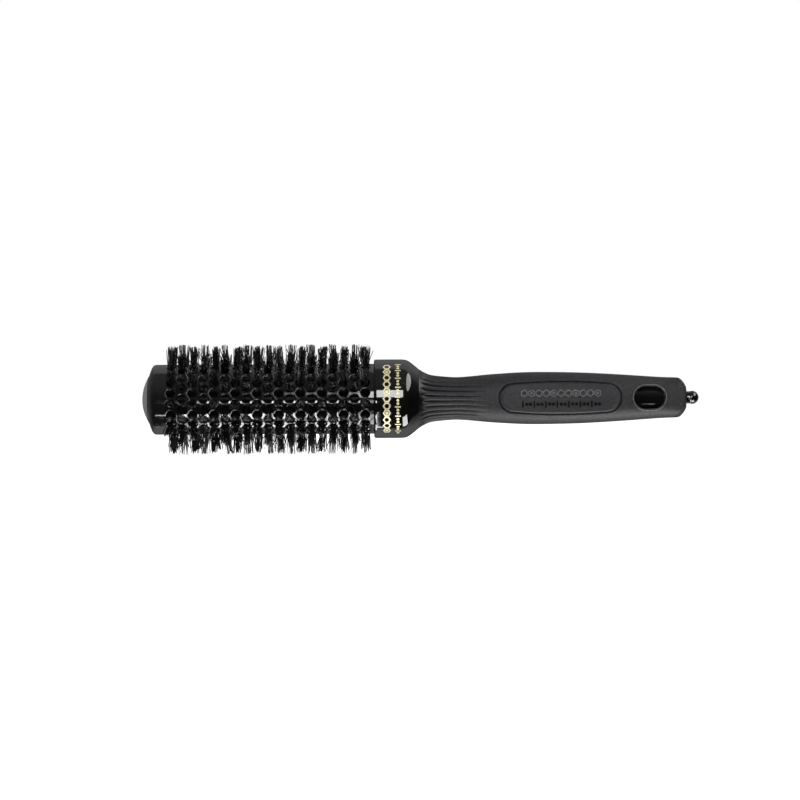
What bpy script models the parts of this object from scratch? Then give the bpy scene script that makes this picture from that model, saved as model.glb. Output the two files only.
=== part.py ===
"""Round barrel brush for blow-drying, as the separate pieces it is put together from.

Lengths are in millimetres and are turned into metres where a mesh is made. X runs along the brush, with the
dome cap at -X and the pick's knob at +X. Z is up, and the front label panel faces -Y. Angles round the brush
are in degrees: 0 faces -Y and 90 faces down.
"""

import math

import bmesh
import bpy

MM = 0.001
GAP = 0.3  # clearance between pieces that touch
SMOOTH_ANGLE = math.radians(35)

# Overall size
HALF_LENGTH = 139.0
BRISTLE_R = 27.5
BARREL_R = 17.5
BARREL_WALL = 0.8
BORE_R = BARREL_R - BARREL_WALL  # inside of the barrel

# Holes: a honeycomb of full columns, with half-pitch columns between them
LANES = 10
COLUMNS = 2 * LANES
COLUMN_STEP = 360 / COLUMNS / 2  # from a full column to the half-pitch column beside it
FIRST_COLUMN = -9.9
ROWS = 10  # holes along a full column; a half-pitch column has one less
ROW_STEP = 5.34  # from a hole to the next one's row, along X
FIRST_ROW_X = -123.6
HOLE_R = 2.4  # to a hole's corner
HOLE_FLAT = HOLE_R * math.sqrt(3) / 2

# Barrel ends
SHOULDER_X = -131.8
SHOULDER_CURVE = ((-133.5, 16.65), (-134.6, 14.3))
LIP_X = -135.5
LIP_R = 11.9
LIP_HOLE_R = 8.6
BARREL_END_X = -9.0

# Bristle lanes, one over each wire, between two columns of holes
FIRST_LANE = FIRST_COLUMN + 2.5 * COLUMN_STEP
LANE_STEP = 360 / LANES
WIRE_R = 0.9
WIRE_AT = 13.2  # from the brush axis to a wire's own axis
STRIP_R = WIRE_AT + WIRE_R + GAP  # inner side of the strip that a lane's tufts grow from
STRIP_THICK = 0.6
STRIP_HALF_WIDTH = 0.8
TUFT_HALF = 0.8  # half a tuft's root, along X
TUFT_LEAN = 9.0  # a tip's angle to its lane
TUFT_TIP_HALF = 1.7
TUFT_TIP_SPREAD = 3.5

# Head structure inside the barrel
FRONT_RETAINER = (-131.5, -129.0)
REAR_RETAINER = (-24.0, -21.5)
RETAINER_R = BORE_R - 0.4
NOTCH_R = WIRE_AT - WIRE_R - GAP  # floor of a wire's notch
NOTCH_HALF = 6.0
FIN_HALF_THICK = 0.8
HUB_R = 4.5
SCREW_R = 1.9
SCREW_BORE_R = SCREW_R + GAP
SCREW_HEAD_R = 3.6
SCREW_END_X = -6.5
WASHER_R = 4.4
INSERT_R = 3.6

# Dome cap
DOME_BASE_X = LIP_X - GAP
DOME_R = 11.7
DOME_SPHERE_R = (DOME_R**2 + (HALF_LENGTH + DOME_BASE_X) ** 2) / 2 / (HALF_LENGTH + DOME_BASE_X)
PLUG_R = LIP_HOLE_R - 0.4
PLUG_END_X = -132.0
PLUG_RECESS_R = 5.0

# Collar
COLLAR_X = -23.2
COLLAR_R = 19.65
COLLAR_EDGE = 0.35  # chamfer of its front edge
COLLAR_STEP_X = -8.1
COLLAR_END_X = -0.9
COLLAR_END_R = 15.0
COLLAR_FUNNEL = ((-9.4, 19.65), (-7.7, 19.45), (-6.1, 18.95), (-4.8, 18.15), (-3.3, 17.0), (-2.0, 15.85))
NECK_R = 12.0  # of the core, where the collar's rear flange holds it

# Handle core and grip
CORE_R = 7.5
CORE_END_X = 123.8
GRIP_X = COLLAR_END_X + GAP
GRIP_END_X = 132.2
FLUTES = 26
GRIP_SIDES = 2 * FLUTES  # the flutes' bottoms are on the odd ones
FLUTE_DEPTH = 0.7
FLUTES_X = (0.5, 33.0)
FLUTE_ENDS = (2.5, 21.0)  # how far a flute takes to deepen and to fade out
NECK_X = 5.0  # round up to here
BODY_X = 45.0  # flattened from here on
FLATNESS = 0.86  # half-depth over half-height of the flattened body
END_ARC_R = 13.3
END_ARC_X = 120.2  # middle of the arc that ends the outline
END_BLEND = 24  # how sharply the arc meets the sides
END_ROUND = 1.2

# Half-height of the grip at the places that give its outline its shape
GRIP_OUTLINE = (
    (-0.6, 14.6),
    (1.75, 13.25),
    (4.75, 12.0),
    (9.75, 11.25),
    (18.75, 10.7),
    (34.75, 12.0),
    (49.75, 12.9),
    (60.75, 13.05),
    (79.75, 12.7),
    (99.75, 11.65),
    (119.75, 10.3),
    (127.3, 10.05),
)
GRIP_STATIONS = (
    *(-0.6, 0.5, 1.75, 3.0, 4.75, 7.5, 11.0, 16.0, 22.0, 28.0, 34.0, 42.0, 52.0, 63.0, 74.0, 86.0),
    *(98.0, 110.0, 120.0, 127.3, 128.7, 130.0, 130.9, 131.55, 131.95, 132.2),
)

# Label panels and their pockets
PANEL_X = (38.8, 100.0)
PANEL_HALF = 7.5  # radius of its ends
PANEL_BOW = 1.0  # how much wider its middle is, on each side
PANEL_GAP = 0.6  # the groove round a panel
POCKET_DEPTH = 1.3
PANEL_DEPTH = POCKET_DEPTH - GAP
LAND_DEPTH = 0.35  # of the panel's flat land under the crown of the grip
GRIP_CREST_X = 60.75

# Windows near the end
WINDOW_X = (106.4, 121.4)
WINDOW_HALF = 5.5
WINDOW_FLOOR = 3.6  # from the mid-plane, inside the core's bore
WINDOW_RIM = 0.6

# Sectioning pick and what it slides in
PIN_R = 1.0
PIN_X = (47.6, 136.7)
PIN_HEAD = (1.5, 1.0)  # radius and length of the head at its inner end
SLEEVE_X = (49.0, 56.5)
SLEEVE_R = 1.65
TUBE_X = (40.0, 126.9)
TUBE_BORE_R = 1.95
TUBE_R = 2.6
TAIL_BORE_R = TUBE_R + GAP
RING_X = (127.2, 128.6)
BUSH_X = (128.9, 132.0)
KNOB_R = 3.27
KNOB_NECK_X = 132.5
KNOB_NECK_R = 3.05


def material(name, colour, roughness, metallic=0.0):
    made = bpy.data.materials.new(name)
    made.use_nodes = True
    shader = made.node_tree.nodes["Principled BSDF"]
    shader.inputs["Base Color"].default_value = (*colour, 1.0)
    shader.inputs["Roughness"].default_value = roughness
    shader.inputs["Metallic"].default_value = metallic
    return made


def place(name, shape, finish=None, parent=None):
    """Makes an object from a bmesh in millimetres. Without a finish it is a cutter."""
    bmesh.ops.recalc_face_normals(shape, faces=shape.faces)
    bmesh.ops.scale(shape, vec=(MM, MM, MM), verts=shape.verts)
    mesh = bpy.data.meshes.new(name)
    shape.to_mesh(mesh)
    shape.free()
    mesh.shade_smooth()
    mesh.set_sharp_from_angle(angle=SMOOTH_ANGLE)
    made = bpy.data.objects.new(name, mesh)
    bpy.context.collection.objects.link(made)
    made.parent = parent
    if finish:
        mesh.materials.append(finish)
    else:
        made.hide_render = True
        made.display_type = "WIRE"
    return made


def cut(target, tool, operation="DIFFERENCE"):
    step = target.modifiers.new(operation.lower() + "_" + tool.name, "BOOLEAN")
    step.operation = operation
    step.solver = "EXACT"
    step.object = tool


def polar(x, radius, angle):
    """A point at this distance from the axis, at an angle round it."""
    turn = math.radians(angle)
    return (x, -radius * math.cos(turn), -radius * math.sin(turn))


def ring(shape, points):
    return [shape.verts.new(point) for point in points]


def bridge(shape, first, second):
    """Joins two closed rings of vertices with a band of faces."""
    count = len(first)
    for here in range(count):
        after = (here + 1) % count
        shape.faces.new((first[here], first[after], second[after], second[here]))


def loft(rings_of_points, closed=False):
    """A solid through rings of points. A closed one goes back from the last ring to the first."""
    shape = bmesh.new()
    rings = [ring(shape, points) for points in rings_of_points]
    for before, after in zip(rings, rings[1:]):
        bridge(shape, before, after)
    if closed:
        bridge(shape, rings[-1], rings[0])
    else:
        shape.faces.new(rings[0])
        shape.faces.new(rings[-1])
    return shape


def turned(profile, sides, closed=False):
    """A solid turned about the axis from (x, radius) points. A closed profile leaves a bore through it."""
    rings = [
        [polar(x, radius, 360 * side / sides) for side in range(sides)] for x, radius in profile
    ]
    return loft(rings, closed)


def tube(ends, inner, outer, sides):
    near, far = ends
    return turned([(near, inner), (near, outer), (far, outer), (far, inner)], sides, closed=True)


def arc(centre_x, centre_r, radius, start, end, steps):
    """(x, radius) points on an arc, from one angle to another. Angle 0 points along +X, 90 away from the axis."""
    points = []
    for step in range(steps + 1):
        turn = math.radians(start + (end - start) * step / steps)
        points.append((centre_x + radius * math.cos(turn), centre_r + radius * math.sin(turn)))
    return points


def slot_outline(ends, radius, grow=0.0, bow=0.0, steps=6):
    """(x, z) points round a slot with round ends. bow is how much its long sides swell outwards."""
    left, right = ends[0] + radius, ends[1] - radius
    reach = radius + grow
    side_steps = 4 if bow else 1
    points = []
    for centre, other, start in ((right, left, -90), (left, right, 90)):
        for step in range(steps + 1):
            turn = math.radians(start + 180 * step / steps)
            points.append((centre + reach * math.cos(turn), reach * math.sin(turn)))
        outwards = math.copysign(1, -start)
        for step in range(1, side_steps):
            along = step / side_steps
            swell = bow * 4 * along * (1 - along)
            points.append((centre + (other - centre) * along, outwards * (reach + swell)))
    return points


# ---- Barrel ----


def hole_corners(shape, radius):
    """The six corner vertices of every hole on one skin of the barrel, by (row, column)."""
    corners = {}
    for row in range(2 * ROWS - 1):
        for column in range(2 * COLUMNS):
            if (row + column) % 2:
                continue
            middle_x = FIRST_ROW_X + row * ROW_STEP
            middle_angle = FIRST_COLUMN + column * COLUMN_STEP
            points = []
            for corner in range(6):
                turn = math.radians(60 * corner)
                along = HOLE_R * math.cos(turn)
                around = math.degrees(HOLE_R * math.sin(turn) / BARREL_R)
                points.append(polar(middle_x + along, radius, middle_angle + around))
            corners[row, column] = ring(shape, points)
    return corners


def web_between_holes(shape, corners):
    """The faces of one skin: a strip between facing hole sides, and a triangle where three strips meet."""
    for (row, column), here in corners.items():
        above = corners[row, (column + 2) % (2 * COLUMNS)]
        shape.faces.new((here[1], here[2], above[4], above[5]))
        ahead_above = corners.get((row + 1, (column + 1) % (2 * COLUMNS)))
        ahead_below = corners.get((row + 1, (column - 1) % (2 * COLUMNS)))
        if ahead_above:
            shape.faces.new((here[0], here[1], ahead_above[3], ahead_above[4]))
            shape.faces.new((here[1], ahead_above[3], above[5]))
            shape.faces.new((here[5], here[0], ahead_below[2], ahead_below[3]))
        behind_above = corners.get((row - 1, (column + 1) % (2 * COLUMNS)))
        if behind_above:
            shape.faces.new((here[2], behind_above[0], above[4]))


def end_corners(corners, row, order):
    """The open edge of a skin, round its first or last row."""
    found = []
    for column in range(0, 2 * COLUMNS, 2):
        found += [corners[row, column][corner] for corner in order]
    return found


def barrel_ring(shape, x, radius):
    """A ring with the same vertex angles as the open edge of the honeycomb."""
    spread = math.degrees(HOLE_FLAT / BARREL_R)
    points = []
    for column in range(0, 2 * COLUMNS, 2):
        middle = FIRST_COLUMN + column * COLUMN_STEP
        points += [polar(x, radius, middle + offset) for offset in (-spread, 0, spread)]
    return ring(shape, points)


def barrel_shape():
    shape = bmesh.new()
    outer = hole_corners(shape, BARREL_R)
    inner = hole_corners(shape, BORE_R)
    web_between_holes(shape, outer)
    web_between_holes(shape, inner)
    for place_of_hole, corners in outer.items():
        bridge(shape, corners, inner[place_of_hole])

    last_row = 2 * ROWS - 2
    front = [end_corners(outer, 0, (4, 3, 2))]
    front += [barrel_ring(shape, SHOULDER_X, BARREL_R)]
    front += [barrel_ring(shape, x, radius) for x, radius in SHOULDER_CURVE]
    front += [barrel_ring(shape, LIP_X, LIP_R)]
    front += [barrel_ring(shape, LIP_X, LIP_HOLE_R)]
    front += [barrel_ring(shape, LIP_X + BARREL_WALL, LIP_HOLE_R)]
    front += [barrel_ring(shape, LIP_X + BARREL_WALL, LIP_R)]
    front += [barrel_ring(shape, SHOULDER_X, BORE_R)]
    front += [end_corners(inner, 0, (4, 3, 2))]
    rear = [end_corners(outer, last_row, (5, 0, 1))]
    rear += [barrel_ring(shape, BARREL_END_X, BARREL_R)]
    rear += [barrel_ring(shape, BARREL_END_X, BORE_R)]
    rear += [end_corners(inner, last_row, (5, 0, 1))]
    for rings in (front, rear):
        for before, after in zip(rings, rings[1:]):
            bridge(shape, before, after)
    return shape


# ---- Bristles, wires and the structure inside the barrel ----


def lane_point(x, radius, lane_angle, sideways):
    """A point over a lane's middle plane, moved sideways at right angles to it."""
    turn = math.radians(lane_angle)
    y = -radius * math.cos(turn) + sideways * math.sin(turn)
    z = -radius * math.sin(turn) - sideways * math.cos(turn)
    return (x, y, z)


def bristle_lane_shape(lane):
    """A strip under the barrel's skin with a flared tuft out of each hole, left and right in turn."""
    shape = bmesh.new()
    lane_angle = FIRST_LANE + lane * LANE_STEP
    top_r = STRIP_R + STRIP_THICK
    rows = 2 * ROWS - 1
    end_space = ROW_STEP / 2
    stations = [FIRST_ROW_X - end_space]
    for row in range(rows):
        middle = FIRST_ROW_X + row * ROW_STEP
        stations += [middle - TUFT_HALF, middle + TUFT_HALF]
    stations += [FIRST_ROW_X + (rows - 1) * ROW_STEP + end_space]

    lower = []
    for x in (stations[0], stations[-1]):
        for side in (-STRIP_HALF_WIDTH, STRIP_HALF_WIDTH):
            lower.append(shape.verts.new(lane_point(x, STRIP_R, lane_angle, side)))
    left = ring(shape, [lane_point(x, top_r, lane_angle, -STRIP_HALF_WIDTH) for x in stations])
    right = ring(shape, [lane_point(x, top_r, lane_angle, STRIP_HALF_WIDTH) for x in stations])
    near_left, near_right, far_left, far_right = lower
    shape.faces.new((near_left, near_right, far_right, far_left))
    shape.faces.new((near_left, near_right, right[0], left[0]))
    shape.faces.new((far_left, far_right, right[-1], left[-1]))
    shape.faces.new([near_left, *left, far_left])
    shape.faces.new([near_right, *right, far_right])

    for step in range(len(stations) - 1):
        root = (left[step], left[step + 1], right[step + 1], right[step])
        if step % 2 == 0:
            shape.faces.new(root)
            continue
        row = step // 2
        lean = -TUFT_LEAN if row % 2 == 0 else TUFT_LEAN
        middle = FIRST_ROW_X + row * ROW_STEP
        tip_angle = lane_angle + lean
        tip_corners = (
            (middle - TUFT_TIP_HALF, tip_angle - TUFT_TIP_SPREAD),
            (middle + TUFT_TIP_HALF, tip_angle - TUFT_TIP_SPREAD),
            (middle + TUFT_TIP_HALF, tip_angle + TUFT_TIP_SPREAD),
            (middle - TUFT_TIP_HALF, tip_angle + TUFT_TIP_SPREAD),
        )
        tip = ring(shape, [polar(x, BRISTLE_R, angle) for x, angle in tip_corners])
        bridge(shape, root, tip)
        shape.faces.new(tip)
    return shape


def stem_wire_shape(lane):
    """A wire that runs along the brush under a bristle lane, into a notch at each end."""
    sides = 8
    lane_angle = FIRST_LANE + lane * LANE_STEP
    rings = []
    for x in (FRONT_RETAINER[0] + GAP, REAR_RETAINER[1] - GAP):
        points = []
        for side in range(sides):
            turn = 2 * math.pi * (side + 0.5) / sides
            out = WIRE_AT + WIRE_R * math.cos(turn)
            points.append(lane_point(x, out, lane_angle, WIRE_R * math.sin(turn)))
        rings.append(points)
    return loft(rings)


def lobed(ends, lobe):
    """A bored solid whose outline repeats once for each lane. A lobe is (radius, angle) points."""
    outline = []
    for lane in range(LANES):
        middle = FIRST_LANE + lane * LANE_STEP
        outline += [(radius, middle + offset) for radius, offset in lobe]
    near, far = ends
    sections = []
    for x, scale in ((near, 1), (far, 1), (far, 0), (near, 0)):
        points = []
        for radius, angle in outline:
            points.append(polar(x, radius if scale else SCREW_BORE_R, angle))
        sections.append(points)
    return loft(sections, closed=True)


def retainer_shape(ends):
    """A disc with a notch for each wire."""
    rim_half = NOTCH_HALF * NOTCH_R / RETAINER_R * 1.05
    lobe = (
        (RETAINER_R, -rim_half),
        (NOTCH_R, -NOTCH_HALF),
        (NOTCH_R, NOTCH_HALF),
        (RETAINER_R, rim_half),
    )
    return lobed(ends, lobe)


def spindle_shape():
    """A hub with a fin under each wire."""
    root = math.degrees(math.asin(FIN_HALF_THICK / HUB_R))
    tip = math.degrees(math.asin(FIN_HALF_THICK / NOTCH_R))
    lobe = ((HUB_R, -root), (NOTCH_R, -tip), (NOTCH_R, tip), (HUB_R, root))
    return lobed((FRONT_RETAINER[1] + GAP, REAR_RETAINER[0] - GAP), lobe)


def washer_ends():
    return (FRONT_RETAINER[0] - GAP - 0.6, FRONT_RETAINER[0] - GAP)


def tie_screw_shape():
    """A long screw with a socket head, its head at the front."""
    under_head = washer_ends()[0] - GAP
    head = under_head - 1.5
    profile = [
        (head + 0.9, 1.5),
        (head, 1.5),
        (head, SCREW_HEAD_R - 0.3),
        (head + 0.3, SCREW_HEAD_R),
        (under_head, SCREW_HEAD_R),
        (under_head, SCREW_R),
        (SCREW_END_X - 0.6, SCREW_R),
        (SCREW_END_X, SCREW_R - 0.6),
    ]
    return turned(profile, 18)


def threaded_insert_shape():
    """A brass insert with a waist that the moulding grips."""
    near, far = -14.0, SCREW_END_X + 0.5
    waist = INSERT_R - 0.4
    profile = [
        (near, SCREW_BORE_R),
        (near, INSERT_R),
        (near + 3, INSERT_R),
        (near + 3.4, waist),
        (far - 3.4, waist),
        (far - 3, INSERT_R),
        (far, INSERT_R),
        (far, SCREW_BORE_R),
    ]
    return turned(profile, 18, closed=True)


def dome_cap_shape():
    """A shallow dome on a hollow plug that fits the barrel's lip."""
    sphere_x = -HALF_LENGTH + DOME_SPHERE_R
    base_angle = 180 - math.degrees(math.asin(DOME_R / DOME_SPHERE_R))
    profile = [
        (DOME_BASE_X + 0.8, PLUG_RECESS_R),
        (PLUG_END_X, PLUG_RECESS_R),
        (PLUG_END_X, PLUG_R),
        (DOME_BASE_X, PLUG_R),
        (DOME_BASE_X, DOME_R),
    ]
    profile += arc(sphere_x, 0, DOME_SPHERE_R, base_angle, 178.2, 5)[1:]
    return turned(profile, 28)


def collar_shape():
    """A sleeve over the barrel's end, then a rounded funnel down to the grip."""
    bore = BARREL_R + GAP
    profile = [
        (COLLAR_X, bore),
        (COLLAR_X, COLLAR_R - COLLAR_EDGE),
        (COLLAR_X + COLLAR_EDGE, COLLAR_R),
        *COLLAR_FUNNEL,
        (COLLAR_END_X, COLLAR_END_R),
        (COLLAR_END_X, NECK_R + GAP),
        (COLLAR_STEP_X, NECK_R + GAP),
        (COLLAR_STEP_X, bore),
    ]
    return turned(profile, 30, closed=True)


# ---- Handle ----


def through(points, x):
    """A smooth curve through (x, value) points, flat at neither end."""
    last = len(points) - 2
    index = max(i for i in range(last + 1) if points[i][0] <= x or i == 0)
    (x0, y0), (x1, y1) = points[index], points[index + 1]
    before = points[max(index - 1, 0)]
    after = points[min(index + 2, last + 1)]
    slope_in = (y1 - before[1]) / (x1 - before[0])
    slope_out = (after[1] - y0) / (after[0] - x0)
    span = x1 - x0
    t = (x - x0) / span
    value = (2 * t**3 - 3 * t**2 + 1) * y0 + (3 * t**2 - 2 * t**3) * y1
    return value + (t**3 - 2 * t**2 + t) * span * slope_in + (t**3 - t**2) * span * slope_out


def ease(start, end, x):
    """0 before start, 1 after end, and smooth between them."""
    t = min(max((x - start) / (end - start), 0.0), 1.0)
    return t * t * (3 - 2 * t)


def grip_half_height(x):
    sides = through(GRIP_OUTLINE, min(x, GRIP_OUTLINE[-1][0]))
    if x <= END_ARC_X:
        return sides
    end = math.sqrt(END_ARC_R**2 - (x - END_ARC_X) ** 2)
    return (sides**-END_BLEND + end**-END_BLEND) ** (-1 / END_BLEND)


def grip_half_depth(x):
    flat = FLATNESS + (1 - FLATNESS) * (1 - ease(NECK_X, BODY_X, x))
    depth = flat * through(GRIP_OUTLINE, min(x, GRIP_OUTLINE[-1][0]))
    into_round = x - (GRIP_END_X - END_ROUND)
    if into_round > 0:
        depth -= END_ROUND - math.sqrt(max(END_ROUND**2 - into_round**2, 0.0))
    return depth


def grip_squareness(x):
    """Exponent of the section's superellipse: 2 is an ellipse."""
    return 2 + 0.6 * ease(NECK_X, BODY_X, x) + 1.0 * ease(120, GRIP_END_X, x)


def grip_section(x, inset=0.0, fluted=True):
    height = grip_half_height(x) - inset
    depth = grip_half_depth(x) - inset
    power = grip_squareness(x)
    start, end = FLUTES_X
    deepen, fade_out = FLUTE_ENDS
    fade = ease(start, start + deepen, x) * (1 - ease(end - fade_out, end, x)) if fluted else 0.0
    points = []
    for side in range(GRIP_SIDES):
        angle = 360 * side / GRIP_SIDES
        turn = math.radians(angle)
        reach = abs(math.cos(turn) / depth) ** power + abs(math.sin(turn) / height) ** power
        radius = reach ** (-1 / power)
        if side % 2:
            radius -= FLUTE_DEPTH * fade
        points.append(polar(x, radius, angle))
    return points


def grip_core(inset):
    """The grip's plain body, made smaller all round. It shapes the pockets and the panels."""
    ends = (BODY_X - 12, *(x for x in GRIP_STATIONS if BODY_X - 12 < x < 110))
    return loft([grip_section(x, inset, fluted=False) for x in ends])


def slot_prism(ends, radius, sides, bow=0.0):
    """A slot-shaped prism across the grip. sides is (y, how much wider) pairs."""
    rings = []
    for y, grow in sides:
        rings.append([(x, y, z) for x, z in slot_outline(ends, radius, grow, bow)])
    return loft(rings)


def make_grip(finish, parent):
    grip = place("grip", loft([grip_section(x) for x in GRIP_STATIONS]), finish, parent)
    bore = place(
        "cut_grip_bore",
        turned(
            [
                (GRIP_X - 5, CORE_R + GAP),
                (CORE_END_X + GAP, CORE_R + GAP),
                (CORE_END_X + GAP, TAIL_BORE_R),
                (GRIP_END_X + 5, TAIL_BORE_R),
            ],
            24,
        ),
    )
    cut(grip, bore)
    floor = place("cut_pocket_floor", grip_core(POCKET_DEPTH))
    for side, name in ((-1, "front"), (1, "back")):
        prism = slot_prism(PANEL_X, PANEL_HALF, ((side * 2, 0), (side * 20, 0)), PANEL_BOW)
        pocket = place("cut_pocket_" + name, prism)
        cut(pocket, floor)
        cut(grip, pocket)
        rim = grip_half_depth(sum(WINDOW_X) / 2)
        steps = (
            (side * WINDOW_FLOOR, 0),
            (side * (rim - 1.5), 0),
            (side * (rim - 0.6), WINDOW_RIM * 0.3),
            (side * rim, WINDOW_RIM),
            (side * (rim + 4), WINDOW_RIM * 3),
        )
        cut(grip, place("cut_window_" + name, slot_prism(WINDOW_X, WINDOW_HALF, steps)))


def make_label_panels(finish, parent):
    skin = place("cut_panel_skin", grip_core(0))
    floor = place("cut_panel_floor", grip_core(PANEL_DEPTH))
    inner = (PANEL_X[0] + PANEL_GAP, PANEL_X[1] - PANEL_GAP)
    land = grip_half_depth(GRIP_CREST_X) - LAND_DEPTH
    for side, name in ((-1, "front"), (1, "back")):
        sides = ((side * 2, 0), (side * land, 0))
        prism = slot_prism(inner, PANEL_HALF - PANEL_GAP, sides, PANEL_BOW)
        panel = place("label_panel_" + name, prism, finish, parent)
        cut(panel, skin, "INTERSECT")
        cut(panel, floor)


def handle_core_shape():
    """A spigot inside the barrel, a neck for the collar, and a long stem with a bore from each end."""
    spigot_x = REAR_RETAINER[1] + GAP
    profile = [
        (-4.0, INSERT_R + GAP),
        (spigot_x, INSERT_R + GAP),
        (spigot_x, RETAINER_R),
        (COLLAR_STEP_X - GAP, RETAINER_R),
        (COLLAR_STEP_X - GAP, NECK_R),
        (COLLAR_END_X, NECK_R),
        (COLLAR_END_X, CORE_R),
        (CORE_END_X - 0.6, CORE_R),
        (CORE_END_X, CORE_R - 0.6),
        (CORE_END_X, TAIL_BORE_R),
        (TUBE_X[0] - 2, TAIL_BORE_R),
    ]
    return turned(profile, 24)


# ---- Sectioning pick ----


def pick_pin_shape():
    head_r, head_length = PIN_HEAD
    start, end = PIN_X
    profile = [(start, head_r - 0.3), (start + 0.3, head_r), (start + head_length, head_r)]
    profile += [(start + head_length, PIN_R), (end, PIN_R)]
    return turned(profile, 14)


def pick_knob_shape():
    middle = HALF_LENGTH - KNOB_R
    neck_angle = 180 - math.degrees(math.asin(KNOB_NECK_R / KNOB_R))
    profile = [
        (PIN_X[1] + GAP, PIN_R + GAP),
        (KNOB_NECK_X, PIN_R + GAP),
        (KNOB_NECK_X, KNOB_NECK_R - 0.25),
        (KNOB_NECK_X + 0.25, KNOB_NECK_R),
    ]
    profile += arc(middle, 0, KNOB_R, neck_angle, 12, 7)
    profile += [(HALF_LENGTH, KNOB_R * math.sin(math.radians(4)))]
    return turned(profile, 18)


def main():
    for old in list(bpy.data.objects):
        bpy.data.objects.remove(old)

    brush = bpy.data.objects.new("brush_axis", None)
    pick = bpy.data.objects.new("pick_axis", None)
    pick.parent = brush
    for empty in (brush, pick):
        bpy.context.collection.objects.link(empty)

    coated_metal = material("coated_metal", (0.012, 0.012, 0.013), 0.18, 0.4)
    satin_plastic = material("satin_plastic", (0.07, 0.07, 0.075), 0.4)
    gloss_plastic = material("gloss_plastic", (0.01, 0.01, 0.011), 0.12)
    soft_touch = material("soft_touch", (0.045, 0.045, 0.05), 0.6)
    panel_rubber = material("panel_rubber", (0.04, 0.04, 0.045), 0.55)
    nylon = material("nylon", (0.008, 0.008, 0.009), 0.35)
    frame_plastic = material("frame_plastic", (0.03, 0.03, 0.032), 0.5)
    steel = material("steel", (0.6, 0.6, 0.6), 0.25, 1.0)
    brass = material("brass", (0.75, 0.55, 0.25), 0.3, 1.0)
    rubber = material("rubber", (0.02, 0.02, 0.02), 0.8)

    place("barrel", barrel_shape(), coated_metal, brush)
    place("dome_cap", dome_cap_shape(), satin_plastic, brush)
    place("collar", collar_shape(), gloss_plastic, brush)
    for lane in range(LANES):
        number = f"{lane + 1:02d}"
        place("bristle_lane_" + number, bristle_lane_shape(lane), nylon, brush)
        place("stem_wire_" + number, stem_wire_shape(lane), steel, brush)
    place("core_spindle", spindle_shape(), frame_plastic, brush)
    place("front_retainer", retainer_shape(FRONT_RETAINER), frame_plastic, brush)
    place("rear_retainer", retainer_shape(REAR_RETAINER), frame_plastic, brush)
    place("tie_screw", tie_screw_shape(), steel, brush)
    place("tie_washer", tube(washer_ends(), SCREW_BORE_R, WASHER_R, 24), steel, brush)
    place("threaded_insert", threaded_insert_shape(), brass, brush)

    place("handle_core", handle_core_shape(), gloss_plastic, brush)
    make_grip(soft_touch, brush)
    make_label_panels(panel_rubber, brush)

    place("pick_guide_tube", tube(TUBE_X, TUBE_BORE_R, TUBE_R, 16), steel, brush)
    place("friction_ring", tube(RING_X, PIN_R + GAP, TUBE_R - 0.05, 16), rubber, brush)
    place("mouth_bush", tube(BUSH_X, PIN_R + GAP, TUBE_R, 16), frame_plastic, brush)
    place("pick_stop_sleeve", tube(SLEEVE_X, PIN_R + 0.25, SLEEVE_R, 14), brass, pick)
    place("pick_pin", pick_pin_shape(), steel, pick)
    place("pick_knob", pick_knob_shape(), gloss_plastic, pick)


main()
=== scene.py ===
"""Looks of the round barrel brush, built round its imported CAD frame.

Shapes are worked out in millimetres and made in metres. X runs along the brush, Z is up, and the front label
panel faces -Y. Angles round the brush are in degrees: 0 faces -Y and 90 faces down.
"""

import math
import random

import bmesh
import bpy
from mathutils import Matrix, Vector


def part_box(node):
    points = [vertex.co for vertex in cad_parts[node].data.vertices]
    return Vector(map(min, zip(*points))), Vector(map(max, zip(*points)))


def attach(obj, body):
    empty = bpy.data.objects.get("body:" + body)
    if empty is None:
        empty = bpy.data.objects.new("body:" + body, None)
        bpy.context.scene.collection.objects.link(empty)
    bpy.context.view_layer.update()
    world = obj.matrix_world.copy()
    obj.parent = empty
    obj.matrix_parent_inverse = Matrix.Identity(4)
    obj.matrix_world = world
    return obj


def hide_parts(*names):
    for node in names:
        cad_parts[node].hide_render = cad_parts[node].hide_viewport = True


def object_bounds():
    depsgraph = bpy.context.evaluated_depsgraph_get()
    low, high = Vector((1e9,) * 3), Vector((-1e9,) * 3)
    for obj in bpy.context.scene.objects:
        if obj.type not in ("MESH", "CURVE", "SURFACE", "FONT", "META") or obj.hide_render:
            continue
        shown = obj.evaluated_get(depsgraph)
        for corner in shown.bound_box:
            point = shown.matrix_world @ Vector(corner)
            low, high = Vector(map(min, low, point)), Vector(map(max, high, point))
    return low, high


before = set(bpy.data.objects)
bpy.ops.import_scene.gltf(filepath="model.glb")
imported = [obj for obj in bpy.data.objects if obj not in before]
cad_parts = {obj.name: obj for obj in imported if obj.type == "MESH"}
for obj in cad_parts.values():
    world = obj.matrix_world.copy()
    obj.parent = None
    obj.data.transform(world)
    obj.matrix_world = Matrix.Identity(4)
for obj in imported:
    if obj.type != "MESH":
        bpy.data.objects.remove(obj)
cad_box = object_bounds()

MM = 0.001
BRUSH = "brush"
PICK = "pick"

# ---- Sizes from the frame, in millimetres ----


def span(node, axis):
    """Lowest and highest place of a CAD node along an axis, in millimetres."""
    low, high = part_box(node)
    return low[axis] / MM, high[axis] / MM


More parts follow.
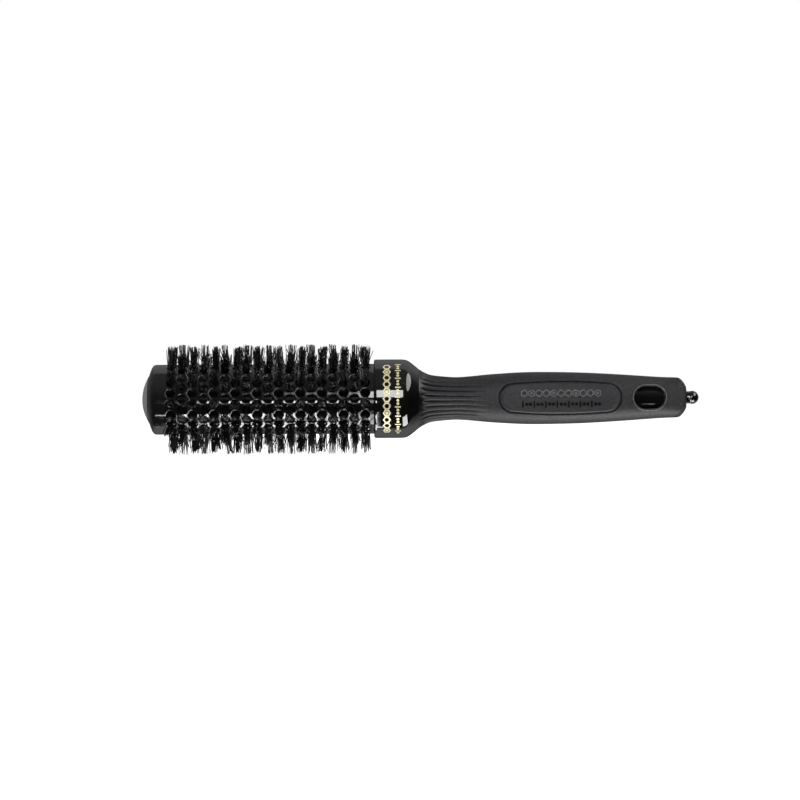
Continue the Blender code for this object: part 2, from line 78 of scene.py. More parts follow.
BARREL_X = span("barrel", 0)
BARREL_R = span("barrel", 2)[1]
BARREL_WALL = 0.8
LIP_R = 11.9
LIP_HOLE_R = 8.6
COLLAR_X = span("collar", 0)
COLLAR_R = 19.65
COLLAR_END_R = 14.78
COLLAR_STEP_X = -8.1  # where the collar's bore narrows to the core's neck
DOME_X = span("dome_cap", 0)
DOME_BASE_X = BARREL_X[0] - 0.08
DOME_R = 11.75
GRIP_X = span("grip", 0)
PANEL_X = (38.8, 100.0)
PANEL_HALF = 7.5
PANEL_BOW = 1.0
KNOB_X = span("pick_knob", 0)
KNOB_R = 3.27
KNOB_NECK_R = 3.05
PIN_X = span("pick_pin", 0)
PIN_R = 1.0
PIN_HEAD_R = 1.5
CORE_X = span("handle_core", 0)
CORE_R = 7.5
CORE_FLANGE_R = 16.3
CORE_NECK_R = 12.0
INSERT_BORE = (3.9, -4.0)  # radius and end of the core's bore for the threaded insert
TAIL_BORE = (2.9, 38.0)  # radius and start of its bore for the pick's guide tube
BRISTLE_R = 27.5
GAP = 0.3  # between pieces that touch

# Holes and bristle lanes
LANES = 10
COLUMNS = 2 * LANES
COLUMN_STEP = 9.0
FIRST_COLUMN = -9.9
ROWS = 10
ROW_STEP = 5.34
FIRST_ROW_X = -123.6
HOLE_R = 2.4
HOLE_CORNER_CUT = 0.14
FIRST_LANE = FIRST_COLUMN + 2.5 * COLUMN_STEP
LANE_STEP = 360 / LANES
WIRE_AT = 13.2


# ---- Mesh helpers ----


def polar(x, radius, angle):
    turn = math.radians(angle)
    return (x, -radius * math.cos(turn), -radius * math.sin(turn))


def lane_point(x, radius, lane_angle, sideways):
    """A point over a lane's middle plane, moved sideways at right angles to it."""
    turn = math.radians(lane_angle)
    y = -radius * math.cos(turn) + sideways * math.sin(turn)
    z = -radius * math.sin(turn) - sideways * math.cos(turn)
    return (x, y, z)


class Shape:
    """Points and faces of one piece, in millimetres."""

    def __init__(self):
        self.points = []
        self.faces = []

    def ring(self, points):
        start = len(self.points)
        self.points += points
        return list(range(start, len(self.points)))

    def band(self, first, second):
        """Joins two closed rings."""
        count = len(first)
        for here in range(count):
            after = (here + 1) % count
            self.faces.append((first[here], first[after], second[after], second[here]))

    def loft(self, rings_of_points, closed=False):
        rings = [self.ring(points) for points in rings_of_points]
        for before, after in zip(rings, rings[1:]):
            self.band(before, after)
        if closed:
            self.band(rings[-1], rings[0])
        else:
            self.faces.append(tuple(rings[0]))
            self.faces.append(tuple(rings[-1]))

    def turned(self, profile, sides, closed=False):
        rings = []
        for x, radius in profile:
            rings.append([polar(x, radius, 360 * side / sides) for side in range(sides)])
        self.loft(rings, closed)

    def piece(self, name, finish, body=BRUSH, smooth=40, stands_for=(), slot=None):
        """Makes the object, and says what it rides on and stands for."""
        mesh = bpy.data.meshes.new(name)
        mesh.from_pydata([[value * MM for value in point] for point in self.points], [], self.faces)
        work = bmesh.new()
        work.from_mesh(mesh)
        bmesh.ops.recalc_face_normals(work, faces=work.faces)
        work.to_mesh(mesh)
        work.free()
        mesh.shade_smooth()
        mesh.set_sharp_from_angle(angle=math.radians(smooth))
        mesh.materials.append(finish)
        made = bpy.data.objects.new(name, mesh)
        bpy.context.collection.objects.link(made)
        if body:
            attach(made, body)
            if stands_for:
                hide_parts(*stands_for)
        return made


def arc(centre_x, centre_r, radius, start, end, steps):
    """(x, radius) points on an arc. Angle 0 points along +X, 90 away from the axis."""
    points = []
    for step in range(steps + 1):
        turn = math.radians(start + (end - start) * step / steps)
        points.append((centre_x + radius * math.cos(turn), centre_r + radius * math.sin(turn)))
    return points


def slot_outline(ends, radius, grow=0.0, bow=0.0, steps=18, side_steps=24):
    """(x, z) points round a slot with round ends. bow is how much its long sides swell outwards."""
    left, right = ends[0] + radius, ends[1] - radius
    reach = radius + grow
    points = []
    for centre, other, start in ((right, left, -90), (left, right, 90)):
        for step in range(steps + 1):
            turn = math.radians(start + 180 * step / steps)
            points.append((centre + reach * math.cos(turn), reach * math.sin(turn)))
        outwards = math.copysign(1, -start)
        for step in range(1, side_steps):
            along = step / side_steps
            swell = bow * 4 * along * (1 - along)
            points.append((centre + (other - centre) * along, outwards * (reach + swell)))
    return points


def ease(start, end, x):
    """0 before start, 1 after end, and smooth between them."""
    t = min(max((x - start) / (end - start), 0.0), 1.0)
    return t * t * (3 - 2 * t)


# ---- Materials ----


class Finish:
    """A Principled material whose colour, roughness and bump come from noise in the piece's own space."""

    def __init__(self, name, colour, roughness, metallic=0.0, level=0.5):
        self.material = bpy.data.materials.new(name)
        self.material.use_nodes = True
        self.nodes = self.material.node_tree.nodes
        self.links = self.material.node_tree.links
        self.shader = self.nodes["Principled BSDF"]
        self.shader.inputs["Base Color"].default_value = (*colour, 1.0)
        self.shader.inputs["Roughness"].default_value = roughness
        self.shader.inputs["Metallic"].default_value = metallic
        self.shader.inputs["Specular IOR Level"].default_value = level
        self.colour = colour
        self.place = self.nodes.new("ShaderNodeTexCoord").outputs["Object"]
        self.bump_before = None

    def stretched(self, scale):
        """The piece's own coordinates, scaled apart along each axis."""
        mapping = self.nodes.new("ShaderNodeMapping")
        mapping.inputs["Scale"].default_value = scale
        self.links.new(self.place, mapping.inputs["Vector"])
        return mapping.outputs["Vector"]

    def noise(self, per_mm, detail=3.0, where=None):
        node = self.nodes.new("ShaderNodeTexNoise")
        node.inputs["Scale"].default_value = per_mm / MM
        node.inputs["Detail"].default_value = detail
        self.links.new(where or self.place, node.inputs["Vector"])
        return node.outputs["Fac"]

    def between(self, source, low, high):
        node = self.nodes.new("ShaderNodeMapRange")
        node.inputs["From Min"].default_value = 0.3
        node.inputs["From Max"].default_value = 0.7
        node.inputs["To Min"].default_value = low
        node.inputs["To Max"].default_value = high
        self.links.new(source, node.inputs["Value"])
        return node.outputs["Result"]

    def mottle(self, source, darker, lighter):
        """Colour that varies between two shades of the finish."""
        ramp = self.nodes.new("ShaderNodeValToRGB")
        ramp.color_ramp.elements[0].position = 0.3
        ramp.color_ramp.elements[1].position = 0.7
        ramp.color_ramp.elements[0].color = (*(part * darker for part in self.colour), 1.0)
        ramp.color_ramp.elements[1].color = (*(part * lighter for part in self.colour), 1.0)
        self.links.new(source, ramp.inputs["Fac"])
        self.links.new(ramp.outputs["Color"], self.shader.inputs["Base Color"])

    def scaled_along(self, socket_name, start, end, share):
        """Keeps a share of an input's value before start along X, and all of it after end, in millimetres."""
        socket = self.shader.inputs[socket_name]
        split = self.nodes.new("ShaderNodeSeparateXYZ")
        self.links.new(self.place, split.inputs["Vector"])
        fade = self.nodes.new("ShaderNodeMapRange")
        fade.interpolation_type = "SMOOTHSTEP"
        fade.inputs["From Min"].default_value = start * MM
        fade.inputs["From Max"].default_value = end * MM
        fade.inputs["To Min"].default_value = share
        fade.inputs["To Max"].default_value = 1.0
        self.links.new(split.outputs["X"], fade.inputs["Value"])
        scaled = self.nodes.new("ShaderNodeVectorMath")
        scaled.operation = "SCALE"
        self.links.new(socket.links[0].from_socket, scaled.inputs["Vector"])
        self.links.new(fade.outputs["Result"], scaled.inputs["Scale"])
        self.links.new(scaled.outputs["Vector"], socket)

    def rough(self, source, low, high):
        self.links.new(self.between(source, low, high), self.shader.inputs["Roughness"])

    def bump(self, source, height_mm, strength=1.0):
        node = self.nodes.new("ShaderNodeBump")
        node.inputs["Distance"].default_value = height_mm * MM
        node.inputs["Strength"].default_value = strength
        self.links.new(source, node.inputs["Height"])
        if self.bump_before:
            self.links.new(self.bump_before, node.inputs["Normal"])
        self.bump_before = node.outputs["Normal"]
        self.links.new(self.bump_before, self.shader.inputs["Normal"])


def coated_barrel():
    finish = Finish("coated_barrel", (0.008, 0.008, 0.009), 0.08)
    fleck = finish.noise(2.2, 2.0)
    finish.mottle(fleck, 0.7, 1.5)
    finish.rough(finish.noise(0.5), 0.05, 0.1)
    finish.bump(finish.noise(0.9, 2.0), 0.008, 0.4)
    return finish.material


def satin_cap():
    finish = Finish("satin_cap", (0.15, 0.15, 0.156), 0.45)
    finish.mottle(finish.noise(1.0, 4.0), 0.92, 1.1)
    finish.rough(finish.noise(1.5), 0.4, 0.52)
    finish.bump(finish.noise(7.0, 2.0), 0.012, 0.5)
    return finish.material


def gloss_black(name, roughness=0.03):
    finish = Finish(name, (0.006, 0.006, 0.0068), roughness)
    flow = finish.noise(0.25, 2.0)
    finish.mottle(flow, 0.8, 1.3)
    finish.rough(finish.noise(0.8), roughness * 0.7, roughness * 1.3)
    finish.bump(finish.noise(0.35, 1.0), 0.003, 0.25)
    return finish.material


def soft_touch(name, colour, roughness=0.55, grain=0.06, level=0.26, seam_shade_and_gloss=None):
    """Matt rubber. The seam range is the (start, end) along X over which its colour goes from a painted
    shade, darker next to the collar, to its own tone, and its roughness goes from gloss to matt.
    """
    finish = Finish(name, colour, roughness, level=level)
    finish.mottle(finish.noise(0.9, 5.0), 0.6, 1.5)
    finish.rough(finish.noise(2.0, 2.0), roughness - 0.06, roughness + 0.08)
    if seam_shade_and_gloss:
        # painted shade: the colour is scaled down to a fifth next to the collar, and the roughness to half,
        # which is a real gloss
        finish.scaled_along("Base Color", *seam_shade_and_gloss, 0.2)
        finish.scaled_along("Roughness", *seam_shade_and_gloss, 0.5)
    finish.bump(finish.noise(2.2, 4.0), grain, 0.9)
    return finish.material


def nylon():
    """Black filaments whose colour is painted paler near their tips, a painted glint on the cut ends."""
    finish = Finish("bristle_nylon", (0.009, 0.009, 0.0095), 0.24, level=0.3)
    split = finish.nodes.new("ShaderNodeSeparateXYZ")
    finish.links.new(finish.place, split.inputs["Vector"])
    out = finish.nodes.new("ShaderNodeCombineXYZ")
    finish.links.new(split.outputs["Y"], out.inputs["Y"])
    finish.links.new(split.outputs["Z"], out.inputs["Z"])
    distance = finish.nodes.new("ShaderNodeVectorMath")
    distance.operation = "LENGTH"
    finish.links.new(out.outputs["Vector"], distance.inputs[0])
    tip_glint = finish.nodes.new("ShaderNodeMapRange")
    tip_glint.inputs["From Min"].default_value = (BRISTLE_R - 0.9) * MM
    tip_glint.inputs["From Max"].default_value = (BRISTLE_R - 0.2) * MM
    tip_glint.inputs["To Min"].default_value = 0.3
    tip_glint.inputs["To Max"].default_value = 0.7
    finish.links.new(distance.outputs["Value"], tip_glint.inputs["Value"])
    # painted highlight: the colour grows up to eight times paler at the tips
    finish.mottle(tip_glint.outputs["Result"], 0.8, 8.0)
    finish.rough(finish.noise(3.0), 0.18, 0.3)
    finish.bump(finish.noise(5.0, 2.0), 0.01, 0.4)
    return finish.material


def gold_print():
    finish = Finish("gold_print", (0.98, 0.9, 0.56), 0.4, metallic=0.1)
    finish.mottle(finish.noise(1.6), 0.86, 1.04)
    finish.rough(finish.noise(4.0), 0.32, 0.48)
    finish.bump(finish.noise(8.0, 2.0), 0.006, 0.4)
    return finish.material


def metal(name, colour, roughness, along=(1.0, 1.0, 1.0)):
    finish = Finish(name, colour, roughness, metallic=1.0)
    drawn = finish.noise(1.2, 3.0, finish.stretched(along))
    finish.mottle(drawn, 0.88, 1.06)
    finish.rough(drawn, roughness * 0.7, roughness * 1.4)
    finish.bump(drawn, 0.006, 0.4)
    return finish.material


def moulded(name, colour, roughness):
    finish = Finish(name, colour, roughness)
    finish.mottle(finish.noise(0.6, 3.0), 0.85, 1.15)
    finish.rough(finish.noise(2.5), roughness - 0.06, roughness + 0.1)
    finish.bump(finish.noise(5.0, 2.0), 0.015, 0.5)
    return finish.material


# ---- Barrel ----

CORNER_OFFSETS = (-14, 0, 14)  # each corner is rounded with three points

# (radius, growth) from a hole's outer edge down its rolled rim to the inside of the tube
HOLE_RIM = (
    *((BARREL_R, 0.62), (BARREL_R, 0.54), (BARREL_R - 0.04, 0.4), (BARREL_R - 0.12, 0.26)),
    *((BARREL_R - 0.22, 0.14), (BARREL_R - 0.36, 0.05), (BARREL_R - 0.52, 0.0)),
    (BARREL_R - BARREL_WALL, 0.0),
)

# (x, radius) from the first holes round the front shoulder, into the lip's hole and back inside the tube
SHOULDER = (
    *((-130.9, BARREL_R), (-131.6, BARREL_R), (-132.2, BARREL_R - 0.03), (-132.7, BARREL_R - 0.16)),
    *((-133.2, BARREL_R - 0.48), (-133.65, BARREL_R - 1.05), (-134.05, BARREL_R - 1.75)),
    *((-134.45, 14.75), (-134.8, 13.8), (-135.1, 12.95), (-135.35, 12.2), (BARREL_X[0], LIP_R - 0.15)),
    *((BARREL_X[0], LIP_HOLE_R), (BARREL_X[0] + BARREL_WALL, LIP_HOLE_R), (BARREL_X[0] + BARREL_WALL, LIP_R)),
    *((-133.4, 15.4), (-131.9, BARREL_R - BARREL_WALL)),
)
REAR_LAND_X = -24.0


def hole_ring(shape, row, column, radius, grow):
    """The 18 points of a hole's rounded hexagon, three to a corner."""
    middle_x = FIRST_ROW_X + row * ROW_STEP
    middle_angle = FIRST_COLUMN + column * COLUMN_STEP
    corner_r = HOLE_R + grow
    points = []
    for corner in range(6):
        for offset in CORNER_OFFSETS:
            turn = math.radians(60 * corner + offset)
            if offset:
                reach = corner_r * math.cos(math.pi / 6) / math.cos(math.radians(30 - abs(offset)))
            else:
                reach = corner_r * (1 - HOLE_CORNER_CUT * 0.6)
            around = math.degrees(reach * math.sin(turn) / BARREL_R)
            points.append(polar(middle_x + reach * math.cos(turn), radius, middle_angle + around))
    return shape.ring(points)


def web(shape, holes):
    """The skin between holes: a strip between facing sides and a patch where three strips meet."""
    start, end = 0, 2

    def at(ring, corner, which):
        return ring[(corner % 6) * 3 + which]

    def strip(a, side_a, b, side_b):
        shape.faces.append(
            (at(a, side_a, end), at(a, side_a + 1, start), at(b, side_b, end), at(b, side_b + 1, start))
        )

    def patch(*corners):
        shape.faces.append(tuple(at(ring, corner, which) for ring, corner in corners for which in range(3)))

    for (row, column), here in holes.items():
        above = holes[row, (column + 2) % (2 * COLUMNS)]
        strip(here, 1, above, 4)
        ahead_above = holes.get((row + 1, (column + 1) % (2 * COLUMNS)))
        if ahead_above:
            ahead_below = holes[row + 1, (column - 1) % (2 * COLUMNS)]
            strip(here, 0, ahead_above, 3)
            strip(here, 5, ahead_below, 2)
            patch((here, 1), (above, 5), (ahead_above, 3))
        behind_above = holes.get((row - 1, (column + 1) % (2 * COLUMNS)))
        if behind_above:
            patch((here, 2), (behind_above, 0), (above, 4))


def open_edge(holes, row, order):
    """The open edge of a skin round its first or last row."""
    found = []
    for column in range(0, 2 * COLUMNS, 2):
        found += [holes[row, column][index] for index in order]
    return found


def edge_ring(shape, edge, x, radius):
    """A ring at x with the same vertex angles as an edge."""
    points = []
    for index in edge:
        _, y, z = shape.points[index]
        scale = radius / math.hypot(y, z)
        points.append((x, y * scale, z * scale))
    return shape.ring(points)


def make_barrel(finish):
    shape = Shape()
    skins = [{} for _ in HOLE_RIM]
    for row in range(2 * ROWS - 1):
        for column in range(row % 2, 2 * COLUMNS, 2):
            for skin, (radius, grow) in zip(skins, HOLE_RIM):
                skin[row, column] = hole_ring(shape, row, column, radius, grow)
            for before, after in zip(skins, skins[1:]):
                shape.band(before[row, column], after[row, column])
    web(shape, skins[0])
    web(shape, skins[-1])

    front_order = (14, 13, 12, 11, 10, 9, 8, 7, 6)
    rear_order = (15, 16, 17, 0, 1, 2, 3, 4, 5)
    last_row = 2 * ROWS - 2
    outer_front = open_edge(skins[0], 0, front_order)
    inner_front = open_edge(skins[-1], 0, front_order)
    outer_rear = open_edge(skins[0], last_row, rear_order)
    inner_rear = open_edge(skins[-1], last_row, rear_order)

    rings = [outer_front]
    rings += [edge_ring(shape, outer_front, x, radius) for x, radius in SHOULDER]
    rings += [inner_front]
    for before, after in zip(rings, rings[1:]):
        shape.band(before, after)
    rear_end = BARREL_X[1]
    rings = [outer_rear]
    for x, radius in ((REAR_LAND_X, BARREL_R), (rear_end, BARREL_R), (rear_end, BARREL_R - BARREL_WALL)):
        rings.append(edge_ring(shape, outer_rear, x, radius))
    rings.append(inner_rear)
    for before, after in zip(rings, rings[1:]):
        shape.band(before, after)
    shape.piece("vented_barrel", finish, smooth=50, stands_for=("barrel",), slot="coated_barrel")


# ---- Bristles and wires ----

FILAMENT_R = 0.23
FILAMENTS = 28  # to a tuft
STRAYS = 7
HOLE_REACH = 1.8  # how far from a hole's middle a filament passes
TIP_LEAN = 7.6  # a tuft's angle to its lane at its tip
FILAMENT_SIDES = 4


def filament(shape, points, radius):
    """A thin closed tube along points that run roughly straight."""
    start = Vector(points[0])
    forward = (Vector(points[-1]) - start).normalized()
    side = forward.cross(Vector((1, 0, 0))).normalized()
    other = forward.cross(side)
    rings = []
    for index, point in enumerate(points):
        size = radius * (0.8 if index == len(points) - 1 else 1.0)
        ring = []
        for corner in range(FILAMENT_SIDES):
            turn = 2 * math.pi * (corner + 0.5) / FILAMENT_SIDES
            ring.append(tuple(Vector(point) + (side * math.cos(turn) + other * math.sin(turn)) * size))
        rings.append(ring)
    shape.loft(rings)


def within(limit, value):
    return max(-limit, min(limit, value))


def bristle_route(chance, lane_angle, row, tuft, stray):
    """The points of one filament: out of the wire, through its hole, and out to its tip."""
    lean_x, lean_s, spread = tuft
    hole_side = -1 if row % 2 == 0 else 1
    hole_x = FIRST_ROW_X + row * ROW_STEP
    reach = within(HOLE_REACH, chance.gauss(0, 0.95)), within(HOLE_REACH, chance.gauss(0, 0.8))
    splay = 1.5 if stray else 0.45
    tip_x = reach[0] * spread + lean_x + chance.gauss(0, splay)
    tip_s = reach[1] * spread + lean_s + chance.gauss(0, splay)
    length = chance.uniform(0.84, 0.99) if stray else chance.uniform(0.965, 1.0)
    root = Vector(lane_point(hole_x + reach[0] * 0.4, 14.9, lane_angle, hole_side * 0.3 + reach[1] * 0.3))
    hole_angle = lane_angle + hole_side * COLUMN_STEP / 2 + math.degrees(reach[1] / BARREL_R)
    hole = Vector(polar(hole_x + reach[0], BARREL_R - 0.4, hole_angle))
    tip_angle = lane_angle + hole_side * TIP_LEAN + math.degrees(tip_s / BRISTLE_R)
    tip = Vector(polar(hole_x + tip_x, BRISTLE_R * length, tip_angle))
    middle = hole.lerp(tip, 0.5) + Vector((chance.gauss(0, 0.1), chance.gauss(0, 0.1), chance.gauss(0, 0.1)))
    return [root, hole, middle, tip]


def make_bristles(finish):
    for lane in range(LANES):
        lane_angle = FIRST_LANE + lane * LANE_STEP
        chance = random.Random(100 + lane)
        shape = Shape()
        for row in range(2 * ROWS - 1):
            tuft = chance.gauss(0, 0.5), chance.gauss(0, 0.5), chance.uniform(0.85, 1.5)
            count = FILAMENTS + chance.randint(-8, 6)
            for number in range(count):
                stray = number < STRAYS
                filament(shape, bristle_route(chance, lane_angle, row, tuft, stray), FILAMENT_R)
        name = f"bristles_{lane + 1:02d}"
        cad_name = f"bristle_lane_{lane + 1:02d}"
        shape.piece(name, finish, smooth=60, stands_for=(cad_name,), slot="bristle_nylon")


WIRE_TWIST_R = 0.45  # from the stem's middle to each wire's
WIRE_R = 0.42
WIRE_SIDES = 6
STEPS_PER_TWIST = 8


def make_wires(finish):
    """Each lane's stem is two wires twisted round each other, one twist to a row of holes."""
    for lane in range(LANES):
        lane_angle = FIRST_LANE + lane * LANE_STEP
        cad_name = f"stem_wire_{lane + 1:02d}"
        near, far = span(cad_name, 0)
        steps = int((far - near) / ROW_STEP * STEPS_PER_TWIST)
        shape = Shape()
        for half in (0, math.pi):
            rings = []
            for step in range(steps + 1):
                turn = 2 * math.pi * step / STEPS_PER_TWIST + half
                x = near + 0.2 + (far - near - 0.4) * step / steps
                centre_out = WIRE_AT + WIRE_TWIST_R * math.cos(turn)
                centre_side = WIRE_TWIST_R * math.sin(turn)
                ring = []
                for side in range(WIRE_SIDES):
                    angle = 2 * math.pi * side / WIRE_SIDES
                    out = centre_out + WIRE_R * math.cos(angle)
                    ring.append(lane_point(x, out, lane_angle, centre_side + WIRE_R * math.sin(angle)))
                rings.append(ring)
            shape.loft(rings)
        name = f"twisted_wire_{lane + 1:02d}"
        shape.piece(name, finish, smooth=70, stands_for=(cad_name,), slot="stem_steel")


# ---- Turned pieces ----


def make_dome_cap(finish):
    height = DOME_BASE_X - DOME_X[0]
    sphere_r = (DOME_R**2 + height**2) / 2 / height
    sphere_x = DOME_X[0] + sphere_r
    base_angle = 180 - math.degrees(math.asin(DOME_R / sphere_r))
    profile = [(DOME_BASE_X + 0.8, 5.0), (DOME_X[1], 5.0), (DOME_X[1], 8.0), (DOME_X[1] - 0.2, 8.2)]
    profile += [(DOME_BASE_X, 8.2), (DOME_BASE_X, DOME_R - 0.25), (DOME_BASE_X - 0.12, DOME_R - 0.04)]
    profile += arc(sphere_x, 0, sphere_r, base_angle + 0.8, 179.6, 16)
    shape = Shape()
    shape.turned(profile, 96)
    shape.piece("satin_dome_cap", finish, stands_for=("dome_cap",), slot="satin_cap")


COLLAR_FUNNEL = (
    (-10.4, 19.65), (-9.7, 19.645), (-9.0, 19.62), (-8.3, 19.56), (-7.6, 19.44),
    (-6.9, 19.23), (-6.2, 18.93), (-5.5, 18.52), (-4.8, 18.03), (-4.1, 17.47),
    (-3.4, 16.9), (-2.7, 16.33), (-2.0, 15.75), (-1.4, 15.22),
)


def make_collar(finish):
    near, far = COLLAR_X
    bore = BARREL_R + GAP
    profile = [(near, bore), (near, COLLAR_R - 0.7), (near + 0.15, COLLAR_R - 0.35)]
    profile += [(near + 0.45, COLLAR_R - 0.1), (near + 0.9, COLLAR_R), (near + 1.5, COLLAR_R)]
    profile += [(near + 2.2, COLLAR_R), *COLLAR_FUNNEL]
    neck_bore = CORE_NECK_R + GAP
    profile += [(far, COLLAR_END_R), (far, neck_bore), (COLLAR_STEP_X, neck_bore), (COLLAR_STEP_X, bore)]
    shape = Shape()
    shape.turned(profile, 144, closed=True)
    shape.piece("gloss_collar", finish, stands_for=("collar",), slot="gloss_collar")


def make_core(finish):
    start, end = CORE_X
    flange_x = COLLAR_STEP_X - GAP
    insert_r, insert_end = INSERT_BORE
    tail_r, tail_start = TAIL_BORE
    profile = [(insert_end, insert_r), (start, insert_r), (start, CORE_FLANGE_R), (flange_x, CORE_FLANGE_R)]
    profile += [(flange_x, CORE_NECK_R), (COLLAR_X[1], CORE_NECK_R), (COLLAR_X[1], CORE_R)]
    profile += [(end - 0.9, CORE_R), (end - 0.25, CORE_R - 0.25), (end, CORE_R - 0.9)]
    profile += [(end, tail_r), (tail_start, tail_r)]
    shape = Shape()
    shape.turned(profile, 72)
    shape.piece("gloss_core", finish, stands_for=("handle_core",), slot="gloss_core")


def make_pick(knob_finish, pin_finish):
    neck_x = KNOB_X[0]
    neck_angle = 180 - math.degrees(math.asin(KNOB_NECK_R / KNOB_R))
    profile = [(PIN_X[1] + GAP, PIN_R + GAP), (neck_x, PIN_R + GAP), (neck_x, KNOB_NECK_R - 0.3)]
    profile += [(neck_x + 0.1, KNOB_NECK_R - 0.08), (neck_x + 0.35, KNOB_NECK_R)]
    profile += arc(KNOB_X[1] - KNOB_R, 0, KNOB_R, neck_angle, 1.5, 22)
    shape = Shape()
    shape.turned(profile, 64)
    shape.piece("ball_knob", knob_finish, body=PICK, stands_for=("pick_knob",), slot="gloss_knob")

    start, end = PIN_X
    profile = [(start, PIN_HEAD_R - 0.4), (start + 0.15, PIN_HEAD_R - 0.1), (start + 0.4, PIN_HEAD_R)]
    profile += [(start + 0.9, PIN_HEAD_R), (start + 1.0, PIN_HEAD_R - 0.1), (start + 1.0, PIN_R)]
    profile += [(end - 0.2, PIN_R), (end, PIN_R - 0.2)]
    shape = Shape()
    shape.turned(profile, 40)
    shape.piece("sectioning_pin", pin_finish, body=PICK, stands_for=("pick_pin",), slot="steel")


# ---- Handle ----

GRIP_OUTLINE = (
    (-0.6, 14.6),
    (1.75, 13.25),
    (4.75, 12.0),
    (9.75, 11.25),
    (18.75, 10.7),
    (34.75, 12.0),
    (49.75, 12.9),
    (60.75, 13.05),
    (79.75, 12.7),
    (99.75, 11.65),
    (119.75, 10.3),
    (127.3, 10.05),
)
NECK_X = 5.0
BODY_X = 45.0
FLATNESS = 0.86
END_ARC_R = 13.3
END_ARC_X = 120.2
END_BLEND = 24
END_ROUND = 1.2
END_LINE_X = END_ARC_X + 4  # a fine line follows the end's outline beyond here
END_LINE_INSET = 1.7
END_LINE_DEPTH = 0.45
FLUTES = 26
FLUTE_DEPTH = 0.85
FLARE_DEPTH = 0.7  # how much deeper a flute is where the neck flares out to the collar
FLUTE_STARTS = (-0.5, 3.5)
FLUTE_ENDS = (20.0, 35.0)
RIB_FULLNESS = 0.6  # under 1 makes the ribs broad and the flutes between them narrow
SEAM_SHADE_AND_GLOSS_X = (-1.0, 4.5)  # painted shade darkens the grip's colour beside the collar and fades out along here, as its roughness turns from gloss to matt
POCKET_DEPTH = 1.25
GROOVE = 0.6  # width of the groove round a label panel
GROOVE_SIDE = 0.35  # how far a pocket's wall takes to fall
WINDOW_X = (106.4, 121.4)
WINDOW_HALF = 5.5
WINDOW_FLOOR = 3.6
LAND_DEPTH = 0.35
CREST_X = 60.75


def through(points, x):
    """A smooth curve through (x, value) points."""
    last = len(points) - 2
    index = max(i for i in range(last + 1) if points[i][0] <= x or i == 0)
    (x0, y0), (x1, y1) = points[index], points[index + 1]
    before = points[max(index - 1, 0)]
    after = points[min(index + 2, last + 1)]
    slope_in = (y1 - before[1]) / (x1 - before[0])
    slope_out = (after[1] - y0) / (after[0] - x0)
    width = x1 - x0
    t = (x - x0) / width
    value = (2 * t**3 - 3 * t**2 + 1) * y0 + (3 * t**2 - 2 * t**3) * y1
    return value + (t**3 - 2 * t**2 + t) * width * slope_in + (t**3 - t**2) * width * slope_out


def grip_half_height(x):
    sides = through(GRIP_OUTLINE, min(x, GRIP_OUTLINE[-1][0]))
    if x <= END_ARC_X:
        return sides
    end = math.sqrt(END_ARC_R**2 - (x - END_ARC_X) ** 2)
    return (sides**-END_BLEND + end**-END_BLEND) ** (-1 / END_BLEND)


def grip_half_depth(x):
    flat = FLATNESS + (1 - FLATNESS) * (1 - ease(NECK_X, BODY_X, x))
    depth = flat * through(GRIP_OUTLINE, min(x, GRIP_OUTLINE[-1][0]))
    into_round = x - (GRIP_X[1] - END_ROUND)
    if into_round > 0:
        depth -= END_ROUND - math.sqrt(max(END_ROUND**2 - into_round**2, 0.0))
    return depth


def grip_squareness(x):
    return 2 + 0.6 * ease(NECK_X, BODY_X, x) + 1.0 * ease(120, GRIP_X[1], x)


def grip_radius(x, angle):
    """The plain grip's distance from the axis."""
    turn = math.radians(angle)
    power = grip_squareness(x)
    reach = abs(math.cos(turn) / grip_half_depth(x)) ** power
    reach += abs(math.sin(turn) / grip_half_height(x)) ** power
    return reach ** (-1 / power)


def panel_distance(x, z):
    """How far (x, z) is outside a label pocket's outline, negative inside it."""
    left, right = PANEL_X[0] + PANEL_HALF, PANEL_X[1] - PANEL_HALF
    along = min(max((x - left) / (right - left), 0.0), 1.0)
    swell = PANEL_BOW * 4 * along * (1 - along)
    return math.hypot(x - min(max(x, left), right), z) - PANEL_HALF - swell


def grip_point(x, angle):
    turn = math.radians(angle)
    radius = grip_radius(x, angle)
    flute_fade = ease(*FLUTE_STARTS, x) * (1 - ease(*FLUTE_ENDS, x))
    rib = abs(math.cos(FLUTES / 2 * turn)) ** RIB_FULLNESS
    radius -= (FLUTE_DEPTH + FLARE_DEPTH * (1 - ease(4.0, 16.0, x))) * flute_fade * (1 - rib)
    z = -radius * math.sin(turn)
    if abs(math.cos(turn)) > 0.2:
        outside = panel_distance(x, z)
        if outside < GROOVE_SIDE:
            radius -= POCKET_DEPTH * (1 - ease(-GROOVE_SIDE * 0.4, GROOVE_SIDE * 0.6, outside))
        if x > END_LINE_X:
            from_line = abs(END_ARC_R - END_LINE_INSET - math.hypot(x - END_ARC_X, z))
            radius -= END_LINE_DEPTH * (1 - ease(0.1, 0.5, from_line))
    return polar(x, radius, angle)


def grip_angles():
    """Angles round the grip, twelve to a flute."""
    count = FLUTES * 12
    return [360 * index / count for index in range(count)]


def station_step(x):
    """Distance to the next section of the grip: short where the surface has fine detail."""
    to_wall = min(abs(x - PANEL_X[0]), abs(x - PANEL_X[1]))
    if to_wall < 1.5 or x > END_LINE_X:
        return 0.2
    in_panel_end = PANEL_X[0] < x < PANEL_X[0] + PANEL_HALF or PANEL_X[1] - PANEL_HALF < x < PANEL_X[1]
    if in_panel_end or x < 6:
        return 0.35
    return 1.2


